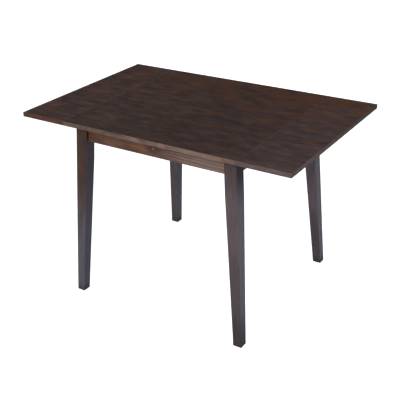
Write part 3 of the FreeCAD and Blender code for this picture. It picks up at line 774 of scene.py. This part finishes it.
def set_on_points(tree, given, instance, selection=True, scale=(1, 1, 1), sink=0.0):
    """Copies a shape to each point, its Z along the point's axis, and sunk along it."""
    axis = add(tree, "InputNamedAttribute", {"Name": "axis"}, data_type="FLOAT_VECTOR")
    down = add(tree, "VectorMath", {0: axis, "Scale": sink}, operation="SCALE")
    moved = add(tree, "SetPosition", {"Geometry": given["Geometry"], "Offset": down})
    upright = add(tree, "AlignRotationToVector", {"Vector": axis}, axis="Z")
    chance = add(tree, "RandomValue", {2: 0.0, 3: 2 * math.pi, "Seed": given["Seed"]}, data_type="FLOAT")
    spin = add(tree, "AxisAngleToRotation", {"Axis": (0, 0, 1), "Angle": chance})
    turned = add(tree, "RotateRotation", {"Rotation": upright, "Rotate By": spin}, rotation_space="LOCAL")
    return add(tree, "InstanceOnPoints", {
        "Points": moved, "Instance": instance, "Selection": selection, "Rotation": turned, "Scale": scale})


def close_tree(tree, given, shapes):
    """Joins the instances, makes them real, gives them the material and ends the tree."""
    joined = add(tree, "JoinGeometry", {"Geometry": shapes})
    real = add(tree, "RealizeInstances", {"Geometry": joined})
    coated = add(tree, "SetMaterial", {"Geometry": real, "Material": given["Material"]})
    add(tree, "NodeGroupOutput", {"Geometry": coated})
    print(tree.name, "tree of", len(tree.nodes), "nodes")


# %% One plain mesh for a body
SHARP_DEGREES = 35
CARRIED = {"axis": ("FLOAT_VECTOR", "vector"), "stretch": ("FLOAT_VECTOR", "vector"),
           "sunk": ("BOOLEAN", "value"), "seat": ("FLOAT", "value")}


def grow(name, tree, points, sizes, finish, body, slot, *replaced):
    """Grows hardware on points, and leaves one plain mesh that rides on a body in place of CAD nodes."""
    mesh = bpy.data.meshes.new(name)
    mesh.from_pydata([tuple(p["place"]) for p in points], [], [])
    for key, (kind, field) in CARRIED.items():
        if key in points[0]:
            mesh.attributes.new(key, kind, "POINT").data.foreach_set(field, np.ravel([p[key] for p in points]))
    piece = new_object(name, mesh)
    modifier = piece.modifiers.new("grow", "NODES")
    modifier.node_group = tree
    for socket in tree.interface.items_tree:
        if socket.in_out == "INPUT" and socket.name != "Geometry":
            modifier[socket.identifier] = {**sizes, "Material": finish}[socket.name]
    graph = bpy.context.evaluated_depsgraph_get()
    grown = bpy.data.meshes.new_from_object(piece.evaluated_get(graph), depsgraph=graph)
    piece.modifiers.clear()
    piece.data = grown
    grown.polygons.foreach_set("use_smooth", [True] * len(grown.polygons))
    grown.set_sharp_from_angle(angle=math.radians(SHARP_DEGREES))
    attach(piece, body)
    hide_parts(*replaced)
    print(name, len(points), "copies,", len(grown.polygons), "faces")


print("points carry:", ", ".join(CARRIED))

# %% [markdown]
# ## Wood screws
#
# A round head is a ball pressed flat below, a countersunk one is a cone, and two tapered blades are
# cut out of either for the cross recess. A dark cross in the material would look the same from far
# away, but a real recess tells a screw from a rivet when the table is turned over. The shank is a
# tapered core with a three-sided ridge wound round it for the thread.

# %% Cross recess
SCREW = {"Shank Radius": 2.0 * MM, "Shank Length": 16 * MM, "Head Radius": 4.0 * MM, "Head Height": 2.4 * MM,
         "Sunk Radius": 3.4 * MM, "Sunk Height": 2.0 * MM, "Recess Depth": 1.5 * MM, "Pitch": 2.0 * MM, "Seed": 5}
# Shares of the head's radius, and how far the blades stand over the head
BLADE_REACH, BLADE_THICK, BLADE_OVER = 0.85, 0.2, 0.1 * MM
BLADE_END = 0.4
# One blade reaches a little deeper, so that their ends do not lie in one plane
DEEPER = 1.03


def lowered(tree, shape, depth, scale=(1, 1, 1)):
    """A shape, scaled, and then moved straight down by a depth."""
    down = add(tree, "Math", {0: depth, 1: -1.0}, operation="MULTIPLY")
    way = add(tree, "CombineXYZ", {2: down})
    return add(tree, "Transform", {"Geometry": shape, "Translation": way, "Scale": scale})


def cross_recess(tree, given):
    """Two crossed blades that narrow downwards, with their broad end just above the head."""
    depth = add(tree, "Math", {0: given["Recess Depth"], 1: BLADE_OVER}, operation="ADD")
    blade = add(tree, "MeshCone", {"Vertices": 4, "Radius Top": 1.0, "Radius Bottom": BLADE_END, "Depth": depth})
    square = add(tree, "Transform", {"Geometry": blade, "Rotation": (0, 0, math.pi / 4)})
    reach, thick = [add(tree, "Math", {0: given["Head Radius"], 1: share}, operation="MULTIPLY")
                    for share in (BLADE_REACH, BLADE_THICK)]
    blades = []
    for length, width, deep in ((reach, thick, 1.0), (thick, reach, DEEPER)):
        size = add(tree, "CombineXYZ", {0: length, 1: width, 2: deep})
        blades.append(lowered(tree, square, given["Recess Depth"], size))
    return blades


screws, given = sized_tree("wood_screw", SCREW)
blades = cross_recess(screws, given)
print("blades of the recess:", len(blades))


# %% Round and countersunk heads
def screw_heads(tree, given, blades):
    """A round head and a countersunk one, both with their top at the point."""
    ball = add(tree, "MeshUVSphere", {"Segments": 24, "Rings": 10, "Radius": 1.0})
    girth = add(tree, "CombineXYZ", {0: given["Head Radius"], 1: given["Head Radius"], 2: given["Head Height"]})
    dome = add(tree, "Transform", {"Geometry": ball, "Scale": girth})
    here = add(tree, "InputPosition")
    pressed = add(tree, "VectorMath", {0: here, 1: (-1, -1, 0)}, operation="MAXIMUM")
    button = add(tree, "SetPosition", {"Geometry": dome, "Position": pressed})
    cone = add(tree, "MeshCone", {
        "Vertices": 24, "Radius Top": given["Sunk Radius"], "Radius Bottom": given["Shank Radius"],
        "Depth": given["Sunk Height"]})
    heads = []
    for shape, height in ((button, given["Head Height"]), (cone, given["Sunk Height"])):
        flush = lowered(tree, shape, height)
        heads.append(add(tree, "MeshBoolean", {"Mesh 1": flush, "Mesh 2": blades},
                         operation="DIFFERENCE", solver="EXACT"))
    return heads


round_head, sunk_head = screw_heads(screws, given, blades)
print("nodes for recess and heads:", len(screws.nodes))

# %% Threaded shank
# Shares of the shank's radius and length, and the sizes of its tip
SCREW_CORE, SCREW_WOUND = 0.7, 0.9
TIP_RADIUS, COIL_START, COIL_RAISED = 0.2 * MM, 0.5 * MM, 1.2 * MM


def thread(tree, pitch, length, start, end, ridge, steps):
    """A three-sided ridge wound round a core, from a start radius below to an end radius above."""
    turns = add(tree, "Math", {0: length, 1: pitch}, operation="DIVIDE")
    coil = add(tree, "CurveSpiral", {
        "Resolution": steps, "Rotations": turns, "Start Radius": start, "End Radius": end, "Height": length})
    section = add(tree, "CurvePrimitiveCircle", {"Resolution": 3, "Radius": ridge}, mode="RADIUS")
    return add(tree, "CurveToMesh", {"Curve": coil, "Profile Curve": section, "Fill Caps": True})


def screw_shank(tree, given):
    """A tapered core with its thread, under the point."""
    core = add(tree, "Math", {0: given["Shank Radius"], 1: SCREW_CORE}, operation="MULTIPLY")
    rod = add(tree, "MeshCone", {
        "Vertices": 10, "Side Segments": 1, "Radius Top": core, "Radius Bottom": TIP_RADIUS,
        "Depth": given["Shank Length"]})
    length = add(tree, "Math", {0: given["Shank Length"], 1: SCREW_WOUND}, operation="MULTIPLY")
    ridge = add(tree, "Math", {0: given["Shank Radius"], 1: core}, operation="SUBTRACT")
    coil = thread(tree, given["Pitch"], length, COIL_START, core, ridge, 9)
    raised = add(tree, "Transform", {"Geometry": coil, "Translation": (0, 0, COIL_RAISED)})
    wound = add(tree, "JoinGeometry", {"Geometry": [rod, raised]})
    return lowered(tree, wound, given["Shank Length"])


shank = screw_shank(screws, given)
sunk, stretch, seat = [add(screws, "InputNamedAttribute", {"Name": key}, data_type=CARRIED[key][0])
                       for key in ("sunk", "stretch", "seat")]
not_sunk = add(screws, "BooleanMath", {0: sunk}, operation="NOT")
close_tree(screws, given, [
    set_on_points(screws, given, round_head, not_sunk),
    set_on_points(screws, given, sunk_head, sunk),
    set_on_points(screws, given, shank, True, stretch, seat),
])

# %% Screws for each body
# A screw with a smaller head than this is countersunk, and has a thinner shank that starts in the head
SUNK_UNDER, SUNK_SEAT, SUNK_THICK = 3.7 * MM, 1.7 * MM, 1.75 / 2.0


def screw_points(*names):
    """A point at the top of each screw of some CAD nodes, with what the screw tree reads."""
    points = []
    for solid in [solid for name in names for solid in islands(name)]:
        top, axis, radius, length = long_axis(solid)
        is_sunk = bool(radius < SUNK_UNDER)
        seat, thick = (SUNK_SEAT, SUNK_THICK) if is_sunk else (SCREW["Head Height"], 1.0)
        points.append({"place": top, "axis": axis, "sunk": is_sunk, "seat": -seat,
                       "stretch": (thick, thick, (length - seat) / SCREW["Shank Length"])})
    return points


frame_sets = ("corner_block_screws", "top_clip_screws", "stay_apron_screws")
grow("frame_wood_screws", screws, screw_points(*frame_sets), SCREW, steel, "frame", "bright_steel", *frame_sets)
grow("hinge_plate_screws", screws, screw_points("hinge_table_screws"), {**SCREW, "Seed": 6}, zinc, "frame",
     "zinc_plated_steel", "hinge_table_screws")
for side, seed in (("left", 7), ("right", 8)):
    grow(side + "_leaf_wood_screws", screws, screw_points(side + "_leaf_screws"), {**SCREW, "Seed": seed}, steel,
         side + "_leaf", "bright_steel", side + "_leaf_screws")

# %% [markdown]
# ## Hanger bolts
#
# Each leg is drawn into its corner by two hanger bolts. One end of such a bolt has a coarse wood
# thread and sits in the leg, the other has a fine machine thread and takes a nut. It is a bar with a
# cone at each end, and the ridge that the screws have is wound round both halves.

# %% Bar with two tips
BOLT = {"Radius": 4.0 * MM, "Length": 66.5 * MM, "Bite": 30 * MM, "Wood Pitch": 3.2 * MM,
        "Machine Pitch": 1.25 * MM, "Seed": 9}
# Shares of the radius and of each half, and the length of a tip
BOLT_CORE, BOLT_WOUND, TIP = 0.86, 0.96, 1.2 * MM
bolts, given = sized_tree("hanger_bolt", BOLT)
core = add(bolts, "Math", {0: given["Radius"], 1: BOLT_CORE}, operation="MULTIPLY")
middle = add(bolts, "Math", {0: given["Length"], 1: 2 * TIP}, operation="SUBTRACT")
bar = add(bolts, "MeshCylinder", {"Vertices": 16, "Radius": core, "Depth": middle})
half = add(bolts, "Math", {0: given["Length"], 1: 0.5}, operation="MULTIPLY")
parts = [lowered(bolts, bar, half)]
# Shares of the core at the top and the bottom of each tip, and how low it ends
for top, bottom, low in ((0.7, 1.0, TIP), (1.0, 0.3, given["Length"])):
    upper, lower = [add(bolts, "Math", {0: core, 1: share}, operation="MULTIPLY") for share in (top, bottom)]
    tip = add(bolts, "MeshCone", {"Vertices": 16, "Radius Top": upper, "Radius Bottom": lower, "Depth": TIP})
    parts.append(lowered(bolts, tip, low))
print("bar and tips:", len(parts), "shapes")

# %% Machine thread and wood thread
ridge = add(bolts, "Math", {0: given["Radius"], 1: core}, operation="SUBTRACT")
free = add(bolts, "Math", {0: given["Length"], 1: given["Bite"]}, operation="SUBTRACT")
for pitch, reach, low in (("Machine Pitch", free, free), ("Wood Pitch", given["Bite"], given["Length"])):
    length = add(bolts, "Math", {0: reach, 1: BOLT_WOUND}, operation="MULTIPLY")
    coil = thread(bolts, given[pitch], length, core, core, ridge, 12)
    parts.append(lowered(bolts, coil, low))
whole = add(bolts, "JoinGeometry", {"Geometry": parts})
close_tree(bolts, given, [set_on_points(bolts, given, whole)])

# %% [markdown]
# ## Flange nuts
#
# A nut is a six-sided prism cut by a cone, which leaves the curved chamfer at its corners, on a
# flange that spreads the load on the soft block. Booleans between simple solids give just these
# shapes, as turning and drilling do on the real nut.

# %% Flange nut
NUT = {"Across Flats": 13 * MM, "Height": 8 * MM, "Flange Radius": 8.6 * MM, "Flange Height": 1.6 * MM,
       "Bore": 4 * MM, "Seed": 10}
# Shares of the flats, of the height and of the flange's radius
CROWN, SLOPE, LIP = 0.47, 1.7, 0.85
DRILL_DEPTH = 100 * MM
nuts, given = sized_tree("flange_nut", NUT)
corner = add(nuts, "Math", {0: given["Across Flats"], 1: math.sqrt(3)}, operation="DIVIDE")
half, crown, lip = [
    add(nuts, "Math", {0: given[size], 1: share}, operation="MULTIPLY")
    for size, share in (("Height", 0.5), ("Across Flats", CROWN), ("Flange Radius", LIP))]
prism = add(nuts, "MeshCylinder", {"Vertices": 6, "Radius": corner, "Depth": given["Height"]})
skirt = add(nuts, "Math", {0: given["Height"], 1: SLOPE, 2: crown}, operation="MULTIPLY_ADD")
bell = add(nuts, "MeshCone", {
    "Vertices": 48, "Radius Top": crown, "Radius Bottom": skirt, "Depth": given["Height"]})
plate = add(nuts, "MeshCone", {
    "Vertices": 32, "Radius Top": lip, "Radius Bottom": given["Flange Radius"], "Depth": given["Flange Height"]})
six = lowered(nuts, prism, half)
over = lowered(nuts, bell, given["Height"])
flange = lowered(nuts, plate, given["Height"])
chamfered = add(nuts, "MeshBoolean", {"Mesh 2": [six, over]}, operation="INTERSECT", solver="EXACT")
solid = add(nuts, "MeshBoolean", {"Mesh 2": [chamfered, flange]}, operation="UNION", solver="EXACT")
drill = add(nuts, "MeshCylinder", {"Vertices": 24, "Radius": given["Bore"], "Depth": DRILL_DEPTH})
nut = add(nuts, "MeshBoolean", {"Mesh 1": solid, "Mesh 2": drill}, operation="DIFFERENCE", solver="EXACT")
close_tree(nuts, given, [set_on_points(nuts, given, nut)])


# %% Bolts and nuts in the four corners
def corner_points(name):
    """A point at the inner end of each bolt or nut, which points to the middle of the table."""
    points = []
    for solid in islands(name):
        inward = -np.sign(np.append(solid.mean(axis=0)[:2], 0)) / math.sqrt(2)
        top, axis = long_axis(solid, inward)[:2]
        points.append({"place": top, "axis": axis})
    return points


grow("hanger_bolt_rods", bolts, corner_points("hanger_bolts"), BOLT, steel, "frame", "bright_steel",
     "hanger_bolts")
grow("flange_nuts", nuts, corner_points("hanger_nuts"), NUT, steel, "frame", "bright_steel", "hanger_nuts")
